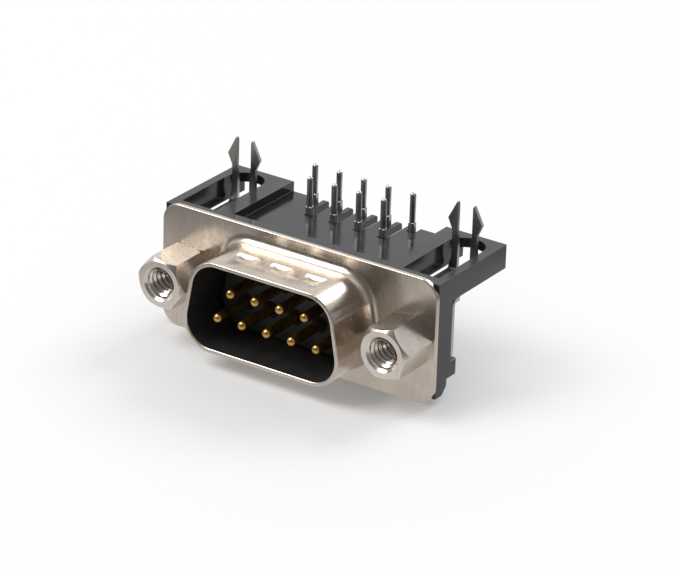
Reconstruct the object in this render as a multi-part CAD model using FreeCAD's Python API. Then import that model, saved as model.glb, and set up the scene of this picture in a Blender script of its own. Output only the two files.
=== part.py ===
import FreeCAD, Part
import math
import os

V = FreeCAD.Vector

# Right-angle nine-way pin connector with board locks and jackscrews, all sizes in mm.
# The origin is the centre of the flange's front face. X runs along the flange, +Y runs
# away from the mating side, and +Z points to the circuit board and the solder tails.

# Metal shell: a flange with a drawn D-shaped collar between the two screws.
COLLAR_WIDE = 18.55
COLLAR_HEIGHT = 9.2
COLLAR_REACH = 5.89
SCREW_TO_COLLAR = 3.22
SCREW_TO_EDGE = 2.91
SCREW_PITCH = COLLAR_WIDE + 2 * SCREW_TO_COLLAR
FLANGE_MARGIN = 1.675
FLANGE_WIDTH = SCREW_PITCH + 2 * SCREW_TO_EDGE
FLANGE_HEIGHT = COLLAR_HEIGHT + 2 * FLANGE_MARGIN
FLANGE_CORNER = 1.9
SHEET = 0.42
COLLAR_CORNER = 3.0
COLLAR_SLANT = 10.0
COLLAR_ROOT = 0.95
LIP_ROUND = 0.14
FLANGE_EDGE = 0.12
SCREW_HOLE_DIA = 3.1

# The seat, which rests on the board, is the datum for the bracket, the tails and the locks.
SEAT_DROP = 0.335
SEAT_Z = FLANGE_HEIGHT / 2 - SEAT_DROP

# Grounding dimples on the collar's upper wall: half a shallow dish, closed by a straight slanted step.
# The share tells how far up its own half height the dish's centre lies above the wall.
DIMPLE_COUNT = 3
DIMPLE_PITCH = 3.85
DIMPLE_STEP_SETBACK = 3.55
DIMPLE_LENGTH = 1.65
DIMPLE_WIDTH = 2.2
DIMPLE_DEPTH = 0.3
DISH_CENTRE_SHARE = 0.75

# Contacts: four in the row nearest the board, five in the far row.
NEAR_COUNT = 4
FAR_COUNT = 5
CONTACT_PITCH = 2.77
ROW_SPACING = 2.84
PIN_DIA = 1.02
PIN_TIP_SETBACK = 0.78
SHANK_DIA = 0.9
SHANK_COLLAR_DIA = 1.3
SHANK_COLLAR_LENGTH = 0.6
TAIL_DIA = 0.58
TAIL_BEND = 0.9
TAIL_OVERLAP = 0.2
NEAR_TAIL_Y = 7.96
TAIL_ROW_SPACING = 2.87
FAR_TAIL_Y = NEAR_TAIL_Y + TAIL_ROW_SPACING
TAIL_ABOVE_SEAT = 3.01
TAIL_TIP_Z = SEAT_Z + TAIL_ABOVE_SEAT
SHOULDER_WIDTH = 0.64
SHOULDER_DEPTH = 0.6
SHOULDER_ROUND = 0.14

# Insulators that hold the contacts.
FACE_Y = -0.1
PLUG_CLEARANCE = 0.05
RIM_BEYOND_COLLAR = 0.025
RIM_BELOW_COLLAR = 0.3
RIM_WIDTH = COLLAR_WIDE + 2 * RIM_BEYOND_COLLAR
RIM_CORNER = 1.2
RIM_BOTTOM_Z = -COLLAR_HEIGHT / 2 - RIM_BELOW_COLLAR
RIM_END_Y = 2.0
REAR_INSET = 0.7
REAR_WIDTH = RIM_WIDTH - 2 * REAR_INSET
REAR_CORNER = 0.5
REAR_BOTTOM_Z = RIM_BOTTOM_Z + REAR_INSET
REAR_END_Y = 6.1
COMB_CLEARANCE = 0.08
HOLE_CLEARANCE = 0.02
FUNNEL_DIA = 1.7
FUNNEL_DEPTH = 0.35

# Moulded bracket: a frame behind the flange, two arms, and a comb for the tails.
BRACKET_INSET = 0.075
BRACKET_WIDTH = FLANGE_WIDTH - 2 * BRACKET_INSET
BRACKET_RISE = 0.655
BRACKET_BOTTOM_Z = BRACKET_RISE - FLANGE_HEIGHT / 2
ARM_HEIGHT = 2.5
ARM_BOTTOM_Z = SEAT_Z - ARM_HEIGHT
REAR_BEHIND_TAILS = 1.13
REAR_Y = FAR_TAIL_Y + REAR_BEHIND_TAILS
COLUMN_BACK_Y = 2.9
BAR_BACK_Y = 2.03
WINDOW_CLEARANCE = 0.1
POCKET_RADIUS = 1.94
ARM_INNER_WALL = 1.855
ARM_INNER_X = SCREW_PITCH / 2 - POCKET_RADIUS - ARM_INNER_WALL
COMB_DROP = 0.94
COMB_TOP_Z = SEAT_Z - COMB_DROP
COMB_THICKNESS = 0.72
SLOT_WIDTH = 0.9
SLOT_END_CLEARANCE = 0.08
COMB_NOSE = 0.35
POCKET_START_Y = 1.65
BRIDGE_THICKNESS = 0.95
TOE_BACK_Y = 2.38
TOE_CHAMFER = 0.7
MOULD_EDGE = 0.16

# Board locks: a plate behind each column, a strap under the arm and a barbed fork.
LOCK_Y = 9.1
LOCK_SHEET = 0.35
LOCK_PLATE_WIDTH = 5.6
LOCK_LAND = 0.55
LOCK_CORNER = 0.6
LOCK_WIDE_END_Y = 4.5
LOCK_STRAP_WIDTH = 3.2
LOCK_BEND = 0.3
LOCK_TIP_RISE = 4.34
LOCK_BARB_RISE = 2.51
LOCK_NECK_RISE = 1.41
LOCK_ROOT_DROP = 1.34
LOCK_BARB_HALF = 1.85
LOCK_NECK_HALF = 1.35
LOCK_TIP_HALF = 0.92
LOCK_TIP_SLANT = 0.25
LOCK_SLOT_START_Y = 4.55
LOCK_SLOT_LOW = 1.36
LOCK_SLOT_HIGH = 1.6

# Threaded inserts and jackscrews.
INSERT_DIA = 4.0
INSERT_HEAD_DIA = 5.2
INSERT_HEAD_THICKNESS = 0.4
INSERT_RIM_DIA = 4.9
INSERT_RIM_THICKNESS = 0.3
INSERT_RIM_ROUND = 0.18
STUD_DIA = 2.74
STUD_LENGTH = 4.4
STUD_POINT = 0.35
HEX_FLATS = 4.76
HEX_LENGTH = 4.5
HEX_CHAMFER = 0.48
HEX_CHAMFER_ANGLE = 42.0
HEX_BACK_CHAMFER = 0.22
HEX_TURN_LEFT = -7.0
HEX_TURN_RIGHT = 10.0
BORE_DIA = 2.44
BORE_DEPTH = 4.0
BORE_MOUTH_DIA = 3.5

SEAT_CLEARANCE = 0.03

# The lock plate reaches down past the insert, and the bracket's foot stands just below the plate.
LOCK_PLATE_BOTTOM_Z = -INSERT_DIA / 2 - LOCK_LAND
FOOT_CLEARANCE = 0.1
FOOT_HEIGHT = 1.65
FOOT_BACK_Y = 3.87
FOOT_TOP_Z = LOCK_PLATE_BOTTOM_Z - FOOT_CLEARANCE
FOOT_BOTTOM_Z = FOOT_TOP_Z - FOOT_HEIGHT

# How far a cutting tool runs past the face that it opens, and what counts as in a plane.
PAST = 1.0
TOUCH = 1e-5


def box(x0, x1, y0, y1, z0, z1):
    return Part.makeBox(x1 - x0, y1 - y0, z1 - z0, V(x0, y0, z0))


def rod(radius, x, y0, y1, z):
    return Part.makeCylinder(radius, y1 - y0, V(x, y0, z), V(0, 1, 0))


def cone(radius0, radius1, x, y0, y1, z):
    return Part.makeCone(radius0, radius1, y1 - y0, V(x, y0, z), V(0, 1, 0))


def prism(points, direction):
    """Extrude the closed outline through the points along a vector."""
    wire = Part.makePolygon([V(*p) for p in points + points[:1]])
    return Part.Face(wire).extrude(V(*direction))


def fillet(solid, radius, chosen):
    """Round the edges of a solid for which chosen(edge) is true."""
    edges = [edge for edge in solid.Edges if chosen(edge)]
    return solid.makeFillet(radius, edges)


def runs_along(edge, axis):
    """True if an edge is straight and parallel to the axis."""
    if not isinstance(edge.Curve, Part.Line):
        return False
    ends = edge.Vertexes
    span = ends[1].Point - ends[0].Point
    return span.cross(V(*axis)).Length < 1e-6 * span.Length


def lies_at(edge, axis, value):
    """True if the whole edge lies in the plane where the coordinate has this value."""
    bounds = edge.BoundBox
    low = getattr(bounds, axis + "Min")
    high = getattr(bounds, axis + "Max")
    return abs(low - value) < TOUCH and abs(high - value) < TOUCH


def upright(edge):
    return runs_along(edge, (0, 0, 1))


def lengthwise(edge):
    return runs_along(edge, (0, 1, 0))


def contact_places():
    """Name, x, z and tail position of each contact, near row first."""
    places = []
    for index in range(NEAR_COUNT):
        x = (index - (NEAR_COUNT - 1) / 2) * CONTACT_PITCH
        places.append((f"contact_near_{index + 1}", x, ROW_SPACING / 2, NEAR_TAIL_Y))
    for index in range(FAR_COUNT):
        x = (index - (FAR_COUNT - 1) / 2) * CONTACT_PITCH
        places.append((f"contact_far_{index + 1}", x, -ROW_SPACING / 2, FAR_TAIL_Y))
    return places


def d_section(inset, y0, y1):
    """D-shaped bar, wide side down, with rounded corners, inset from the collar's outside."""
    half_height = COLLAR_HEIGHT / 2 - inset
    slant = math.radians(COLLAR_SLANT)
    low = COLLAR_WIDE / 2 - inset / math.cos(slant) - inset * math.tan(slant)
    high = low - 2 * half_height * math.tan(slant)
    outline = [(-low, y0, -half_height), (low, y0, -half_height),
               (high, y0, half_height), (-high, y0, half_height)]
    bar = prism(outline, (0, y1 - y0, 0))
    return fillet(bar, COLLAR_CORNER - inset, lengthwise)


def dimple_tool(index, growth):
    """Ellipsoid, centred above the wall, that presses one dimple. A step at 45 degrees ends it."""
    x = (index - (DIMPLE_COUNT - 1) / 2) * DIMPLE_PITCH
    step_y = DIMPLE_STEP_SETBACK - COLLAR_REACH
    wall_z = COLLAR_HEIGHT / 2
    height = DIMPLE_DEPTH / (1 - DISH_CENTRE_SHARE)
    share_at_wall = math.sqrt(1 - DISH_CENTRE_SHARE ** 2)
    half_width = DIMPLE_WIDTH / 2 / share_at_wall + growth
    length = DIMPLE_LENGTH / share_at_wall + growth
    stretch = FreeCAD.Matrix()
    stretch.scale(half_width, length, height + growth)
    tool = Part.makeSphere(1).transformGeometry(stretch)
    tool.translate(V(x, step_y, wall_z + height * DISH_CENTRE_SHARE))
    edge_y = step_y + growth * math.sqrt(2)
    drop = DIMPLE_DEPTH + growth + SHEET
    side = [(step_y - length, wall_z - drop), (edge_y - drop, wall_z - drop),
            (edge_y + SHEET, wall_z + SHEET), (step_y - length, wall_z + SHEET)]
    ahead = prism([(x - half_width, y, z) for y, z in side], (2 * half_width, 0, 0))
    return tool.common(ahead)


def on_collar(edge, y):
    """True if an edge lies in the plane at y and within the collar's width."""
    bounds = edge.BoundBox
    reach = COLLAR_WIDE / 2 + TOUCH
    return lies_at(edge, "Y", y) and bounds.XMax < reach and bounds.XMin > -reach


def make_shell():
    half_width = FLANGE_WIDTH / 2
    half_height = FLANGE_HEIGHT / 2
    flange = box(-half_width, half_width, 0, SHEET, -half_height, half_height)
    flange = fillet(flange, FLANGE_CORNER, lengthwise)
    flange = fillet(flange, FLANGE_EDGE, lambda edge: lies_at(edge, "Y", 0))
    body = flange.fuse(d_section(0, -COLLAR_REACH, SHEET / 2)).removeSplitter()
    body = fillet(body, COLLAR_ROOT, lambda edge: on_collar(edge, 0))
    hollow = d_section(SHEET, -COLLAR_REACH - PAST, SHEET + PAST)
    for index in range(DIMPLE_COUNT):
        hollow = hollow.cut(dimple_tool(index, SHEET))
    body = body.cut(hollow)
    body = fillet(body, COLLAR_ROOT + SHEET, lambda edge: on_collar(edge, SHEET))
    for index in range(DIMPLE_COUNT):
        body = body.cut(dimple_tool(index, 0))
    for side in (-1, 1):
        body = body.cut(rod(SCREW_HOLE_DIA / 2, side * SCREW_PITCH / 2, -PAST, SHEET + PAST, 0))
    body = fillet(body, LIP_ROUND, lambda edge: lies_at(edge, "Y", -COLLAR_REACH))
    return body.removeSplitter()


def insulator_top():
    """Height of both insulators, just under the comb plate."""
    return COMB_TOP_Z - COMB_THICKNESS - COMB_CLEARANCE


def make_front_insulator():
    """Plug in the collar with a rim behind the flange, and a funnel round each pin."""
    plug = d_section(SHEET + PLUG_CLEARANCE, FACE_Y, (SHEET + RIM_END_Y) / 2)
    rim = box(-RIM_WIDTH / 2, RIM_WIDTH / 2, SHEET, RIM_END_Y, RIM_BOTTOM_Z, insulator_top())
    rim = fillet(rim, RIM_CORNER, lengthwise)
    body = rim.fuse(plug)
    hole = PIN_DIA / 2 + HOLE_CLEARANCE
    for name, x, z, tail_y in contact_places():
        body = body.cut(rod(hole, x, FACE_Y - PAST, RIM_END_Y + PAST, z))
        body = body.cut(cone(FUNNEL_DIA / 2, hole, x, FACE_Y, FACE_Y + FUNNEL_DEPTH, z))
    return body.removeSplitter()


def make_rear_insulator():
    """Block behind the front insulator, with the shank of each contact through it."""
    body = box(-REAR_WIDTH / 2, REAR_WIDTH / 2, RIM_END_Y, REAR_END_Y, REAR_BOTTOM_Z, insulator_top())
    body = fillet(body, REAR_CORNER, lengthwise)
    shank = SHANK_DIA / 2 + HOLE_CLEARANCE
    collar = SHANK_COLLAR_DIA / 2 + HOLE_CLEARANCE
    collar_end_y = RIM_END_Y + SHANK_COLLAR_LENGTH + HOLE_CLEARANCE
    for name, x, z, tail_y in contact_places():
        body = body.cut(rod(shank, x, RIM_END_Y - PAST, REAR_END_Y + PAST, z))
        body = body.cut(rod(collar, x, RIM_END_Y - PAST, collar_end_y, z))
    return body


def make_contact(x, z, tail_y):
    """Turned pin, a shank with a retaining collar, and a tail bent up to the board."""
    pin = PIN_DIA / 2
    tail = TAIL_DIA / 2
    tip_y = PIN_TIP_SETBACK - COLLAR_REACH
    body = rod(pin, x, tip_y + pin, RIM_END_Y, z).fuse(Part.makeSphere(pin, V(x, tip_y + pin, z)))
    body = body.fuse(rod(SHANK_DIA / 2, x, RIM_END_Y, REAR_END_Y, z))
    body = body.fuse(rod(SHANK_COLLAR_DIA / 2, x, RIM_END_Y, RIM_END_Y + SHANK_COLLAR_LENGTH, z))
    start = V(x, REAR_END_Y - TAIL_OVERLAP, z)
    bend_in = V(x, tail_y - TAIL_BEND, z)
    short_of_corner = TAIL_BEND * (1 - math.sqrt(0.5))
    bend_mid = V(x, tail_y - short_of_corner, z + short_of_corner)
    bend_out = V(x, tail_y, z + TAIL_BEND)
    end = V(x, tail_y, TAIL_TIP_Z - tail)
    path = Part.Wire([Part.LineSegment(start, bend_in).toShape(),
                      Part.Arc(bend_in, bend_mid, bend_out).toShape(),
                      Part.LineSegment(bend_out, end).toShape()])
    section = Part.Wire([Part.makeCircle(tail, start, V(0, 1, 0))])
    body = body.fuse(path.makePipeShell([section], True, False)).fuse(Part.makeSphere(tail, end))
    shoulder = box(x - SHOULDER_WIDTH / 2, x + SHOULDER_WIDTH / 2, tail_y - SHOULDER_DEPTH / 2,
                   tail_y + SHOULDER_DEPTH / 2, COMB_TOP_Z - COMB_THICKNESS, SEAT_Z)
    shoulder = fillet(shoulder, SHOULDER_ROUND, lambda edge: upright(edge) or lies_at(edge, "Z", SEAT_Z))
    return body.fuse(shoulder).removeSplitter()


def side_profile():
    """Outline of a bracket side in y and z: arm above, column and foot below."""
    arm = [(SHEET, SEAT_Z), (REAR_Y, SEAT_Z), (REAR_Y, ARM_BOTTOM_Z), (COLUMN_BACK_Y, ARM_BOTTOM_Z)]
    foot = [(COLUMN_BACK_Y, FOOT_TOP_Z), (FOOT_BACK_Y, FOOT_TOP_Z), (FOOT_BACK_Y, FOOT_BOTTOM_Z)]
    toe = [(TOE_BACK_Y, FOOT_BOTTOM_Z), (TOE_BACK_Y, BRACKET_BOTTOM_Z + TOE_CHAMFER),
           (TOE_BACK_Y - TOE_CHAMFER, BRACKET_BOTTOM_Z), (SHEET, BRACKET_BOTTOM_Z)]
    return arm + foot + toe


def make_bracket():
    half = BRACKET_WIDTH / 2
    window_x = RIM_WIDTH / 2 + WINDOW_CLEARANCE
    comb_bottom = COMB_TOP_Z - COMB_THICKNESS
    body = box(-SCREW_PITCH / 2, SCREW_PITCH / 2, SHEET, BAR_BACK_Y, BRACKET_BOTTOM_Z, SEAT_Z)
    comb = box(-ARM_INNER_X, ARM_INNER_X, SHEET, REAR_Y, comb_bottom, COMB_TOP_Z)
    comb = fillet(comb, COMB_NOSE, lambda edge: lies_at(edge, "Y", REAR_Y) and lies_at(edge, "Z", COMB_TOP_Z))
    body = body.fuse(comb)
    for side in (-1, 1):
        x0 = min(side * ARM_INNER_X, side * half)
        outline = [(x0, y, z) for y, z in side_profile()]
        body = body.fuse(prism(outline, (half - ARM_INNER_X, 0, 0)))
    body = body.removeSplitter()

    def outer_edge(edge):
        on_side = lies_at(edge, "X", half) or lies_at(edge, "X", -half)
        on_crown = lies_at(edge, "Z", SEAT_Z) and lies_at(edge, "Y", REAR_Y)
        return (on_side or on_crown) and edge.BoundBox.YMin > SHEET + TOUCH

    body = fillet(body, MOULD_EDGE, outer_edge)
    window = box(-window_x, window_x, SHEET - PAST, COLUMN_BACK_Y + PAST,
                 RIM_BOTTOM_Z - WINDOW_CLEARANCE, comb_bottom)
    body = body.cut(window)
    for name, x, z, tail_y in contact_places():
        start_y = tail_y - SHOULDER_DEPTH / 2 - SLOT_END_CLEARANCE
        slot = box(x - SLOT_WIDTH / 2, x + SLOT_WIDTH / 2, start_y, REAR_Y + PAST,
                   comb_bottom - PAST, COMB_TOP_Z + PAST)
        body = body.cut(slot)
    for side in (-1, 1):
        x = side * SCREW_PITCH / 2
        sleeve = rod(INSERT_DIA / 2 + SEAT_CLEARANCE, x, SHEET - PAST, COLUMN_BACK_Y + PAST, 0)
        head_end_y = SHEET + INSERT_HEAD_THICKNESS + SEAT_CLEARANCE
        head = rod(INSERT_HEAD_DIA / 2 + SEAT_CLEARANCE, x, SHEET - PAST, head_end_y, 0)
        body = body.cut([pocket(x), sleeve, head])
    return body.removeSplitter()


def pocket(x):
    """Round-ended well in an arm, open below, with a bridge across its rear end."""
    low = x - POCKET_RADIUS
    high = x + POCKET_RADIUS
    bottom = ARM_BOTTOM_Z - PAST
    top = SEAT_Z + PAST
    well = box(low, high, COLUMN_BACK_Y, LOCK_Y, bottom, top)
    well = well.fuse(box(low, high, POCKET_START_Y, LOCK_Y, ARM_BOTTOM_Z, top))
    well = well.fuse(Part.makeCylinder(POCKET_RADIUS, top - bottom, V(x, LOCK_Y, bottom)))
    under = box(low, high, LOCK_Y, REAR_Y + PAST, bottom, SEAT_Z - BRIDGE_THICKNESS)
    return well.fuse(under)


def make_board_lock(x):
    """Stamped strip: drilled plate, bend, strap under the arm, bend, barbed fork."""
    plate_y = COLUMN_BACK_Y
    strap_top = ARM_BOTTOM_Z
    strap_bottom = strap_top - LOCK_SHEET
    outer = LOCK_BEND + LOCK_SHEET
    side = LOCK_PLATE_WIDTH / 2
    front_y = LOCK_Y - LOCK_SHEET / 2
    back_y = LOCK_Y + LOCK_SHEET / 2

    plate = box(x - side, x + side, plate_y, plate_y + LOCK_SHEET, LOCK_PLATE_BOTTOM_Z, strap_top - outer)
    plate = fillet(plate, LOCK_CORNER,
                   lambda edge: lengthwise(edge) and lies_at(edge, "Z", LOCK_PLATE_BOTTOM_Z))
    first = bend(x, side, plate_y + outer, strap_top - outer, -1, 1)
    wide = box(x - side, x + side, plate_y + outer, LOCK_WIDE_END_Y, strap_bottom, strap_top)
    wide = fillet(wide, LOCK_CORNER, lambda edge: upright(edge) and lies_at(edge, "Y", LOCK_WIDE_END_Y))
    half = LOCK_STRAP_WIDTH / 2
    strap = box(x - half, x + half, plate_y + outer, back_y - outer, strap_bottom, strap_top)
    second = bend(x, half, back_y - outer, strap_bottom + outer, 1, -1)
    low_z = strap_bottom + outer
    neck_z = SEAT_Z + LOCK_NECK_RISE
    tip_z = SEAT_Z + LOCK_TIP_RISE
    prong_outside = [(half, low_z), (LOCK_NECK_HALF, SEAT_Z - LOCK_ROOT_DROP), (LOCK_NECK_HALF, neck_z),
                     (LOCK_BARB_HALF, SEAT_Z + LOCK_BARB_RISE), (LOCK_TIP_HALF, tip_z)]
    prong_inside = [(LOCK_SLOT_HIGH / 2, tip_z - LOCK_TIP_SLANT), (LOCK_SLOT_HIGH / 2, neck_z),
                    (LOCK_SLOT_LOW / 2, SEAT_Z), (LOCK_SLOT_LOW / 2, low_z)]
    body = plate.fuse([first, wide, strap, second])
    for mirror in (1, -1):
        outline = [(x + mirror * px, front_y, pz) for px, pz in prong_outside + prong_inside]
        body = body.fuse(prism(outline, (0, LOCK_SHEET, 0)))
    body = body.removeSplitter()
    slot = box(x - LOCK_SLOT_LOW / 2, x + LOCK_SLOT_LOW / 2, LOCK_SLOT_START_Y, back_y + PAST,
               strap_bottom - PAST, SEAT_Z)
    hole = rod(INSERT_DIA / 2 + SEAT_CLEARANCE, x, plate_y - PAST, plate_y + PAST, 0)
    return body.cut([slot, hole])


def bend(x, half, y, z, toward_y, toward_z):
    """Quarter turn of the strip about a centre, on the side that the two signs give."""
    outer = LOCK_BEND + LOCK_SHEET
    ring = Part.makeCylinder(outer, 2 * half, V(x - half, y, z), V(1, 0, 0))
    ring = ring.cut(Part.makeCylinder(LOCK_BEND, 2 * half, V(x - half, y, z), V(1, 0, 0)))
    y_span = sorted((y, y + toward_y * outer))
    z_span = sorted((z, z + toward_z * outer))
    return ring.common(box(x - half, x + half, y_span[0], y_span[1], z_span[0], z_span[1]))


def make_insert(x):
    """Clinched insert: head behind the flange, sleeve, and a rolled rim over the lock plate."""
    rim_y = COLUMN_BACK_Y + LOCK_SHEET
    body = rod(INSERT_DIA / 2, x, SHEET, rim_y, 0)
    body = body.fuse(rod(INSERT_HEAD_DIA / 2, x, SHEET, SHEET + INSERT_HEAD_THICKNESS, 0))
    rim = rod(INSERT_RIM_DIA / 2, x, rim_y, rim_y + INSERT_RIM_THICKNESS, 0)
    rim = fillet(rim, INSERT_RIM_ROUND, lambda edge: lies_at(edge, "Y", rim_y + INSERT_RIM_THICKNESS))
    body = body.fuse(rim)
    return body.cut(rod(STUD_DIA / 2 + SEAT_CLEARANCE, x, 0, rim_y + PAST, 0)).removeSplitter()


def make_jackscrew(x, turn):
    """Hexagonal standoff with a threaded socket in front and a stud behind."""
    circle = HEX_FLATS / math.sqrt(3)
    corners = []
    for index in range(6):
        angle = math.radians(turn + 60 * index)
        corners.append((x + circle * math.cos(angle), -HEX_LENGTH, circle * math.sin(angle)))
    body = prism(corners, (0, HEX_LENGTH, 0))
    face_radius = circle - HEX_CHAMFER
    slope = math.tan(math.radians(HEX_CHAMFER_ANGLE))
    crown = cone(face_radius, face_radius + HEX_LENGTH / slope, x, -HEX_LENGTH, 0, 0)
    back_radius = circle - HEX_BACK_CHAMFER
    back = cone(back_radius + HEX_LENGTH / slope, back_radius, x, -HEX_LENGTH, 0, 0)
    body = body.common(crown).common(back)
    floor_y = BORE_DEPTH - HEX_LENGTH
    mouth_end_y = (BORE_MOUTH_DIA - BORE_DIA) / 2 - HEX_LENGTH
    body = body.cut(rod(BORE_DIA / 2, x, -HEX_LENGTH - PAST, floor_y, 0))
    body = body.cut(cone(BORE_MOUTH_DIA / 2, BORE_DIA / 2, x, -HEX_LENGTH, mouth_end_y, 0))
    stud = rod(STUD_DIA / 2, x, 0, STUD_LENGTH - STUD_POINT, 0)
    point_y = STUD_LENGTH - STUD_POINT
    stud = stud.fuse(cone(STUD_DIA / 2, STUD_DIA / 2 - STUD_POINT, x, point_y, STUD_LENGTH, 0))
    return body.fuse(stud).removeSplitter()


def make_parts():
    parts = {
        "front_shell": make_shell(),
        "front_insulator": make_front_insulator(),
        "rear_insulator": make_rear_insulator(),
        "bracket": make_bracket(),
    }
    for name, x, z, tail_y in contact_places():
        parts[name] = make_contact(x, z, tail_y)
    for label, side, turn in (("left", -1, HEX_TURN_LEFT), ("right", 1, HEX_TURN_RIGHT)):
        x = side * SCREW_PITCH / 2
        parts[f"board_lock_{label}"] = make_board_lock(x)
        parts[f"threaded_insert_{label}"] = make_insert(x)
        parts[f"jackscrew_{label}"] = make_jackscrew(x, turn)
    return parts


os.makedirs("parts", exist_ok=True)
for node, shape in make_parts().items():
    shape.exportStep(f"parts/{node}.step")
    print(node, shape.ShapeType, len(shape.Solids), shape.isValid(), round(shape.Volume, 3))
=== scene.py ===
import math

import bmesh
import bpy
from mathutils import Matrix, Vector


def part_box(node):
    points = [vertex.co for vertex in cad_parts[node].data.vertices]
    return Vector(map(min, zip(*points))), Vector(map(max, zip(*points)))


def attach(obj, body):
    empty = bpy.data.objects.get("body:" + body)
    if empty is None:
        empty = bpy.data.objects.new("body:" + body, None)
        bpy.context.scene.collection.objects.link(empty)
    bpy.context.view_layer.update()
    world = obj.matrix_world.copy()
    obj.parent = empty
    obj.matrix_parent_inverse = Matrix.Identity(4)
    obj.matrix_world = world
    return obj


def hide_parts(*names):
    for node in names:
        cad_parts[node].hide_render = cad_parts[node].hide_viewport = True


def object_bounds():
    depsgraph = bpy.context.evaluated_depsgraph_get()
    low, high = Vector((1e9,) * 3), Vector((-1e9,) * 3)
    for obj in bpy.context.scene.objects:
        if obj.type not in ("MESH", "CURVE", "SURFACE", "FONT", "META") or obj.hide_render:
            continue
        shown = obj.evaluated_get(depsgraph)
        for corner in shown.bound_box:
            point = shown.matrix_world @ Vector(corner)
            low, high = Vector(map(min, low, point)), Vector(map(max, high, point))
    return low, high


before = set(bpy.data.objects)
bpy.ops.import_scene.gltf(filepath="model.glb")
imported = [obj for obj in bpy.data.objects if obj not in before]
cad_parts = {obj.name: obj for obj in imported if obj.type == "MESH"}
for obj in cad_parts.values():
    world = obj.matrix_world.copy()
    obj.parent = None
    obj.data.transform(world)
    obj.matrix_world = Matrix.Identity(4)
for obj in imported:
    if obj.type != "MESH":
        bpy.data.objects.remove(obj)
cad_bounds = [list(corner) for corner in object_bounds()]

MM = 0.001

# Camera of the photograph, in the row frame. Sensor and lens are in millimetres, clipping in metres.
CAMERA_PLACE = Vector((191.97, -283.43, 159.65)) * MM
CAMERA_AZIMUTH = math.radians(33.476)
CAMERA_ELEVATION = math.radians(24.773)
CAMERA_ROLL = math.radians(-1.753)
SENSOR_WIDTH = 36.0
FOCAL_LENGTH = 216.99
CAMERA_CLIP = (0.01, 10.0)

# Thread in the jackscrews' sockets: forty turns to the inch, with a flat crest and a flat root.
THREAD_PITCH = 0.635 * MM
THREAD_MAJOR = 1.44 * MM
THREAD_MINOR = 1.2 * MM
HALF_CREST = 0.07 * MM
HALF_ROOT = 0.02 * MM
STEPS_A_TURN = 40
THREAD_LEAD_IN = 0.32 * MM
THREAD_RUN_OUT = 0.5 * MM
SOCKET_RADIUS = 1.22 * MM
SOCKET_DEPTH = 4.0 * MM

# Where the gold plating of a contact gives way to tin, behind the insulators.
PLATING_CHANGE_Y = 3.0 * MM
PLATING_BLEND = 0.2 * MM

# Painted shade on the collar's inner wall starts inside the lip. The wall's normals lean less than
# this share along Y.
LIP_ROUND = 0.16 * MM
WALL_LEAN = 0.5

# Meshes: vertices this close are one, edges that turn more than this are sharp, and a vertex this
# close to a surface lies on it.
WELD = 1e-7
SHARP_ANGLE = math.radians(32)
TOUCH = 0.02 * MM

# Materials: where most values of a noise texture lie, how high the grain stands, and how far sharp
# edges are softened.
NOISE_SPAN = (0.3, 0.7)
GRAIN_HEIGHT = 0.01 * MM
EDGE_RADIUS = 0.05 * MM

# White table. The share of plain white that the camera sees in it grows away from the part's shadow.
FLOOR_SIZE = 3.0
FLOOR_COLOR = (0.85, 0.85, 0.85, 1)
FLOOR_ROUGHNESS = 0.9
FLOOR_GLOW = (0.1, 0.85)
FLOOR_GLOW_GROWTH = (16 * MM, 42 * MM)
SHADOW_CENTRE = (-4 * MM, -6 * MM, 0)

# Shiny surfaces see this share of white in the table, in a pool that fades away from its centre.
FLOOR_SHINY_GLOW = 0.85
FLOOR_DIM = (0.2, 0.88)
FLOOR_FADE = (30 * MM, 48.5 * MM)
POOL_CENTRE = (5 * MM, 6 * MM, 0)

# Sky: its light, and how much of its white shiny surfaces miss by its direction along Y and along X.
SKY_LEVEL = 0.5
SKY_FRONT_DIM = (0.85, 0.0)
SKY_FRONT_FADE = (-0.7, 0.0)
SKY_RIGHT_DIM = (0.0, 0.6)
SKY_RIGHT_FADE = (0.3, 0.75)

# Square lamps that point at the origin: place in metres, side in metres, power in watts.
LAMPS = {
    "key": ((-0.25, -0.20, 0.37), 0.28, 1.6),
    "back": ((0.06, 0.38, 0.32), 0.2, 0.8),
}


def node_material(name):
    """New material, with its node tree and its surface shader."""
    material = bpy.data.materials.new(name)
    material.use_nodes = True
    tree = material.node_tree
    shader = tree.nodes["Principled BSDF"]
    return material, tree, shader


def noise(tree, scale, detail=3.0, stretch=(1, 1, 1)):
    """Noise in the object's own millimetres, so its scale is in features per millimetre."""
    place = tree.nodes.new("ShaderNodeTexCoord")
    mapping = tree.nodes.new("ShaderNodeMapping")
    mapping.inputs["Scale"].default_value = [s / MM for s in stretch]
    texture = tree.nodes.new("ShaderNodeTexNoise")
    texture.inputs["Scale"].default_value = scale
    texture.inputs["Detail"].default_value = detail
    tree.links.new(place.outputs["Object"], mapping.inputs["Vector"])
    tree.links.new(mapping.outputs["Vector"], texture.inputs["Vector"])
    return texture.outputs["Fac"]


def remap(tree, value, low, high, start, end):
    """Value between start and end brought to the range from low to high."""
    node = tree.nodes.new("ShaderNodeMapRange")
    node.inputs["From Min"].default_value = start
    node.inputs["From Max"].default_value = end
    node.inputs["To Min"].default_value = low
    node.inputs["To Max"].default_value = high
    tree.links.new(value, node.inputs["Value"])
    return node.outputs["Result"]


def two_tone(tree, value, low, high, span=NOISE_SPAN):
    """Colour that goes from low to high as a value goes through its span."""
    node = tree.nodes.new("ShaderNodeValToRGB")
    for element, position, color in zip(node.color_ramp.elements, span, (low, high)):
        element.position = position
        element.color = (*color, 1)
    tree.links.new(value, node.inputs["Fac"])
    return node.outputs["Color"]


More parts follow.
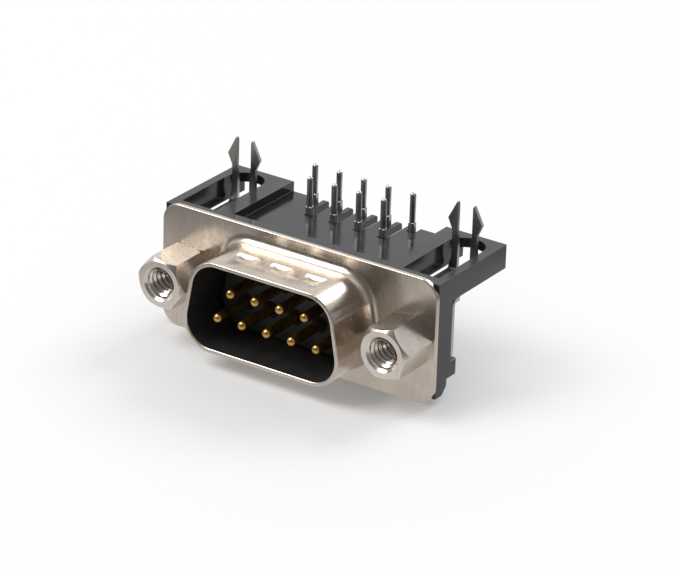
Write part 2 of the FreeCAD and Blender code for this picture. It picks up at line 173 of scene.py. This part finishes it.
def mix_colors(tree, factor, first, second, blend="MIX"):
    """Mix of two colours, whose sockets are the node's inputs 6 and 7 and its output 2."""
    node = tree.nodes.new("ShaderNodeMix")
    node.data_type = "RGBA"
    node.blend_type = blend
    if isinstance(factor, float):
        node.inputs["Factor"].default_value = factor
    else:
        tree.links.new(factor, node.inputs["Factor"])
    tree.links.new(first, node.inputs[6])
    tree.links.new(second, node.inputs[7])
    return node.outputs[2]


def relief(tree, shader, height, strength, edge_radius=EDGE_RADIUS):
    """Grain from a height, over softened edges."""
    edge = tree.nodes.new("ShaderNodeBevel")
    edge.samples = 4
    edge.inputs["Radius"].default_value = edge_radius
    bump = tree.nodes.new("ShaderNodeBump")
    bump.inputs["Strength"].default_value = strength
    bump.inputs["Distance"].default_value = GRAIN_HEIGHT
    tree.links.new(height, bump.inputs["Height"])
    tree.links.new(edge.outputs["Normal"], bump.inputs["Normal"])
    tree.links.new(bump.outputs["Normal"], shader.inputs["Normal"])


def plated_steel(name, dark, light, roughness, edge_radius=EDGE_RADIUS):
    """Dull nickel plate: warm clouding, fine streaks up the part and smoother worn patches."""
    material, tree, shader = node_material(name)
    shader.inputs["Metallic"].default_value = 1.0
    plate = two_tone(tree, noise(tree, scale=0.35), dark, light)
    streaks = noise(tree, scale=1.0, stretch=(4.0, 1.5, 0.5))
    shade = two_tone(tree, streaks, (0.91, 0.90, 0.89), (1.0, 1.0, 1.0))
    tree.links.new(mix_colors(tree, 1.0, plate, shade, "MULTIPLY"), shader.inputs["Base Color"])
    patches = noise(tree, scale=0.45, detail=4.0, stretch=(1.0, 1.0, 0.7))
    worn = remap(tree, patches, roughness - 0.06, roughness + 0.08, *NOISE_SPAN)
    tree.links.new(worn, shader.inputs["Roughness"])
    relief(tree, shader, streaks, strength=0.03, edge_radius=edge_radius)
    return material


def painted_wall_shade():
    """Inside of the collar, black in the photograph: painted shade, a dull near-black colour over
    the plate in place of the shade in the collar's hollow.
    """
    material, tree, shader = node_material("painted shade on inner wall")
    # Painted shade: a near-black base colour with a faint random tone, standing for the hollow's
    # shade.
    painted_shade = two_tone(tree, noise(tree, scale=0.8), (0.016, 0.016, 0.016), (0.026, 0.025, 0.024))
    tree.links.new(painted_shade, shader.inputs["Base Color"])
    dullness = remap(tree, noise(tree, scale=1.1), 0.45, 0.6, *NOISE_SPAN)
    tree.links.new(dullness, shader.inputs["Roughness"])
    shader.inputs["Specular IOR Level"].default_value = 0.25
    return material


def moulded_plastic(name, color, roughness, grain):
    """Black moulding: fine grain, faint flow clouding and slightly shinier patches."""
    material, tree, shader = node_material(name)
    lighter = tuple(1.5 * channel for channel in color)
    clouds = two_tone(tree, noise(tree, scale=0.6), color, lighter, (0.3, 0.75))
    tree.links.new(clouds, shader.inputs["Base Color"])
    patches = remap(tree, noise(tree, scale=0.4), roughness - 0.03, roughness + 0.05, *NOISE_SPAN)
    tree.links.new(patches, shader.inputs["Roughness"])
    shader.inputs["Specular Tint"].default_value = (0.92, 0.91, 1.0, 1)
    relief(tree, shader, noise(tree, scale=grain, detail=2.0), strength=0.06)
    return material


def contact_metal():
    """Gold flash on the pin and bright tin on the tail, both faintly uneven."""
    material, tree, shader = node_material("contact plating")
    shader.inputs["Metallic"].default_value = 1.0
    place = tree.nodes.new("ShaderNodeTexCoord")
    parts = tree.nodes.new("ShaderNodeSeparateXYZ")
    tree.links.new(place.outputs["Object"], parts.inputs["Vector"])
    change = (PLATING_CHANGE_Y - PLATING_BLEND, PLATING_CHANGE_Y + PLATING_BLEND)
    tinned = remap(tree, parts.outputs["Y"], 0.0, 1.0, *change)
    gold = two_tone(tree, noise(tree, scale=1.0, detail=2.0), (0.50, 0.29, 0.08), (0.66, 0.42, 0.14))
    tin = two_tone(tree, noise(tree, scale=0.8, detail=2.0), (0.44, 0.42, 0.40), (0.60, 0.58, 0.55))
    tree.links.new(mix_colors(tree, tinned, gold, tin), shader.inputs["Base Color"])
    dullness = remap(tree, noise(tree, scale=1.0, detail=2.0), 0.26, 0.34, *NOISE_SPAN)
    tree.links.new(dullness, shader.inputs["Roughness"])
    waves = noise(tree, scale=0.7, detail=1.0)
    relief(tree, shader, waves, strength=0.02, edge_radius=0.03 * MM)
    return material


def shade_smooth(form):
    """Smooth faces, with sharp edges where the form turns."""
    for face in form.faces:
        face.smooth = True
    for edge in form.edges:
        edge.smooth = len(edge.link_faces) == 2 and edge.calc_face_angle(0.0) < SHARP_ANGLE


def welded_copy(node):
    """Copy of a CAD node with joined vertices and smooth shading."""
    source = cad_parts[node]
    mesh = bpy.data.meshes.new(node + " dressed")
    form = bmesh.new()
    form.from_mesh(source.data)
    bmesh.ops.remove_doubles(form, verts=form.verts, dist=WELD)
    shade_smooth(form)
    form.to_mesh(mesh)
    form.free()
    piece = bpy.data.objects.new(node + "_dressed", mesh)
    bpy.context.collection.objects.link(piece)
    return piece


def dress(node, material):
    """A node's visible piece, in its material."""
    piece = welded_copy(node)
    piece.data.materials.append(material)
    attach(piece, "root")
    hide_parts(node)
    return piece


def thread_ridge(name, x, start_y, end_y, material, slot):
    """Helical ridge of a socket's thread, about an axis along Y."""
    turns = (end_y - start_y) / THREAD_PITCH
    count = int(turns * STEPS_A_TURN)
    half_base = THREAD_PITCH / 2 - HALF_ROOT
    profile = ((THREAD_MAJOR, -half_base), (THREAD_MINOR, -HALF_CREST), (THREAD_MINOR, HALF_CREST),
               (THREAD_MAJOR, half_base))
    vertices = []
    for step in range(count + 1):
        angle = 2 * math.pi * step / STEPS_A_TURN
        along = start_y + THREAD_PITCH * step / STEPS_A_TURN
        for radius, offset in profile:
            vertices.append((x + radius * math.cos(angle), along + offset, radius * math.sin(angle)))
    faces = []
    width = len(profile)
    for step in range(count):
        first = step * width
        last = first + width - 1
        for corner in range(first, last):
            faces.append((corner, corner + 1, corner + 1 + width, corner + width))
        faces.append((first, first + width, last + width, last))
    faces.append(tuple(range(width)))
    faces.append(tuple(reversed(range(count * width, (count + 1) * width))))
    mesh = bpy.data.meshes.new(name)
    mesh.from_pydata(vertices, [], faces)
    mesh.update()
    form = bmesh.new()
    form.from_mesh(mesh)
    bmesh.ops.recalc_face_normals(form, faces=form.faces)
    shade_smooth(form)
    form.to_mesh(mesh)
    form.free()
    mesh.materials.append(material)
    ridge = bpy.data.objects.new(name, mesh)
    bpy.context.collection.objects.link(ridge)
    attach(ridge, "root")


def open_socket(piece, x, front_y, floor_y):
    """Widen a jackscrew's bore to the thread's major radius, so the ridge stands in it."""
    for vertex in piece.data.vertices:
        place = vertex.co
        radius = math.hypot(place.x - x, place.z)
        in_depth = front_y - TOUCH < place.y < floor_y + TOUCH
        if in_depth and abs(radius - SOCKET_RADIUS) < TOUCH:
            widen = THREAD_MAJOR / radius
            place.x = x + (place.x - x) * widen
            place.z *= widen


def paint_inner_wall_shade(shell, material):
    """Give the collar's inner wall, from just inside the lip to the insulator, its own material of
    painted shade.
    """
    shell.data.materials.append(material)
    lip_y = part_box("front_shell")[0][1] + LIP_ROUND
    for face in shell.data.polygons:
        centre = face.center
        outward = face.normal.x * centre.x + face.normal.z * centre.z
        # Inward-facing wall faces between the lip and the insulator take the painted shade.
        if lip_y < centre.y < 0 and outward < 0 and abs(face.normal.y) < WALL_LEAN:
            face.material_index = 1


def dress_jackscrew(node, material):
    """Jackscrew with a thread in its socket."""
    slot = "jackscrew_steel"
    piece = dress(node, material)
    low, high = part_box(node)
    x = (low[0] + high[0]) / 2
    floor_y = low[1] + SOCKET_DEPTH
    open_socket(piece, x, low[1], floor_y)
    thread_y = (low[1] + THREAD_LEAD_IN, floor_y - THREAD_RUN_OUT)
    thread_ridge(node + "_thread", x, *thread_y, material, slot)


def build_object():
    nickel = plated_steel("nickel plate", dark=(0.55, 0.485, 0.42), light=(0.64, 0.57, 0.50),
                          roughness=0.26)
    lock_steel = plated_steel("tinned spring steel", dark=(0.42, 0.41, 0.385),
                              light=(0.55, 0.53, 0.50), roughness=0.3, edge_radius=0.09 * MM)
    screw_steel = plated_steel("turned nickel plate", dark=(0.64, 0.585, 0.525),
                               light=(0.74, 0.68, 0.62), roughness=0.22)
    moulding = moulded_plastic("glossy black moulding", color=(0.010, 0.0105, 0.012),
                               roughness=0.15, grain=4.0)
    insulator = moulded_plastic("matte black moulding", color=(0.024, 0.0235, 0.022),
                                roughness=0.45, grain=6.0)
    plating = contact_metal()

    shell = dress("front_shell", nickel)
    # Painted shade: the collar's inner wall is coloured near black in place of the shade in its
    # hollow.
    paint_inner_wall_shade(shell, painted_wall_shade())
    dress("front_insulator", insulator)
    dress("rear_insulator", insulator)
    dress("bracket", moulding)
    for node in sorted(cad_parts):
        if node.startswith("contact_"):
            dress(node, plating)
        elif node.startswith("board_lock_"):
            dress(node, lock_steel)
        elif node.startswith("threaded_insert_"):
            dress(node, nickel)
        elif node.startswith("jackscrew_"):
            dress_jackscrew(node, screw_steel)


def add_camera():
    """Camera of the photograph, which is rolled a little about its line of sight."""
    level = math.cos(CAMERA_ELEVATION)
    forward = Vector((-math.sin(CAMERA_AZIMUTH) * level, math.cos(CAMERA_AZIMUTH) * level,
                      -math.sin(CAMERA_ELEVATION)))
    level_right = forward.cross(Vector((0, 0, 1))).normalized()
    level_down = forward.cross(level_right)
    right = level_right * math.cos(CAMERA_ROLL) + level_down * math.sin(CAMERA_ROLL)
    up = -forward.cross(right)
    data = bpy.data.cameras.new("camera")
    data.sensor_width = SENSOR_WIDTH
    data.lens = FOCAL_LENGTH
    data.clip_start, data.clip_end = CAMERA_CLIP
    camera = bpy.data.objects.new("camera", data)
    turned = Matrix((right, up, -forward)).transposed().to_4x4()
    camera.matrix_world = Matrix.Translation(CAMERA_PLACE) @ turned
    bpy.context.collection.objects.link(camera)
    bpy.context.scene.camera = camera


def add_lamp(name, place, side, watts):
    """Square lamp that points at the origin."""
    data = bpy.data.lights.new(name, "AREA")
    data.size = side
    data.energy = watts
    lamp = bpy.data.objects.new(name, data)
    lamp.location = place
    lamp.rotation_euler = (-Vector(place)).to_track_quat("-Z", "Y").to_euler()
    bpy.context.collection.objects.link(lamp)


def math_node(tree, operation, first, second):
    """Result of an operation on two values, each a float or a socket."""
    node = tree.nodes.new("ShaderNodeMath")
    node.operation = operation
    for socket, value in zip(node.inputs, (first, second)):
        if isinstance(value, float):
            socket.default_value = value
        else:
            tree.links.new(value, socket)
    return node.outputs["Value"]


def distance(tree, centre):
    """How far a place on the object lies from the centre."""
    place = tree.nodes.new("ShaderNodeTexCoord")
    away = tree.nodes.new("ShaderNodeVectorMath")
    away.operation = "DISTANCE"
    away.inputs[1].default_value = centre
    tree.links.new(place.outputs["Object"], away.inputs[0])
    return away.outputs["Value"]


def lit_white(tree, output, lit_shader, dimmed, camera_share, shiny_share):
    """White over a plainly lit shader, in one share for the camera and another for shiny surfaces.

    What shiny surfaces see of the white is dimmed besides.
    """
    path = tree.nodes.new("ShaderNodeLightPath").outputs
    shiny = math_node(tree, "MAXIMUM", path["Is Glossy Ray"], path["Is Transmission Ray"])
    seen = math_node(tree, "MULTIPLY", path["Is Camera Ray"], camera_share)
    shown = math_node(tree, "MAXIMUM", seen, math_node(tree, "MULTIPLY", shiny, shiny_share))
    glow = tree.nodes.new("ShaderNodeEmission")
    glow.inputs["Color"].default_value = (1, 1, 1, 1)
    fading = math_node(tree, "MULTIPLY", shiny, dimmed)
    tree.links.new(math_node(tree, "SUBTRACT", 1.0, fading), glow.inputs["Strength"])
    mix = tree.nodes.new("ShaderNodeMixShader")
    tree.links.new(shown, mix.inputs["Fac"])
    tree.links.new(lit_shader, mix.inputs[1])
    tree.links.new(glow.outputs["Emission"], mix.inputs[2])
    tree.links.new(mix.outputs["Shader"], output.inputs["Surface"])


def add_floor(height):
    """White table under the part, which keeps some of the part's soft shadow."""
    bpy.ops.mesh.primitive_plane_add(size=FLOOR_SIZE, location=(0, 0, height))
    floor = bpy.context.object
    floor.name = "floor"
    material, tree, shader = node_material("white table")
    shader.inputs["Base Color"].default_value = FLOOR_COLOR
    shader.inputs["Roughness"].default_value = FLOOR_ROUGHNESS
    dimmed = remap(tree, distance(tree, POOL_CENTRE), *FLOOR_DIM, *FLOOR_FADE)
    glow = remap(tree, distance(tree, SHADOW_CENTRE), *FLOOR_GLOW, *FLOOR_GLOW_GROWTH)
    output = tree.nodes["Material Output"]
    lit_white(tree, output, shader.outputs["BSDF"], dimmed, glow, FLOOR_SHINY_GLOW)
    floor.data.materials.append(material)


def add_world():
    """White all round, which shiny surfaces see darker on the camera's side and on the right."""
    world = bpy.data.worlds.new("studio")
    bpy.context.scene.world = world
    world.use_nodes = True
    tree = world.node_tree
    lit = tree.nodes["Background"]
    lit.inputs["Color"].default_value = (1, 1, 1, 1)
    lit.inputs["Strength"].default_value = SKY_LEVEL
    place = tree.nodes.new("ShaderNodeTexCoord")
    parts = tree.nodes.new("ShaderNodeSeparateXYZ")
    tree.links.new(place.outputs["Generated"], parts.inputs["Vector"])
    front = remap(tree, parts.outputs["Y"], *SKY_FRONT_DIM, *SKY_FRONT_FADE)
    right = remap(tree, parts.outputs["X"], *SKY_RIGHT_DIM, *SKY_RIGHT_FADE)
    dimmed = math_node(tree, "MAXIMUM", front, right)
    lit_white(tree, tree.nodes["World Output"], lit.outputs["Background"], dimmed, 1.0, 1.0)


build_object()
add_floor(cad_bounds[0][2])
add_world()
for name, (place, side, watts) in LAMPS.items():
    add_lamp(name, place, side, watts)
add_camera()
bpy.context.scene.view_settings.view_transform = "Standard"
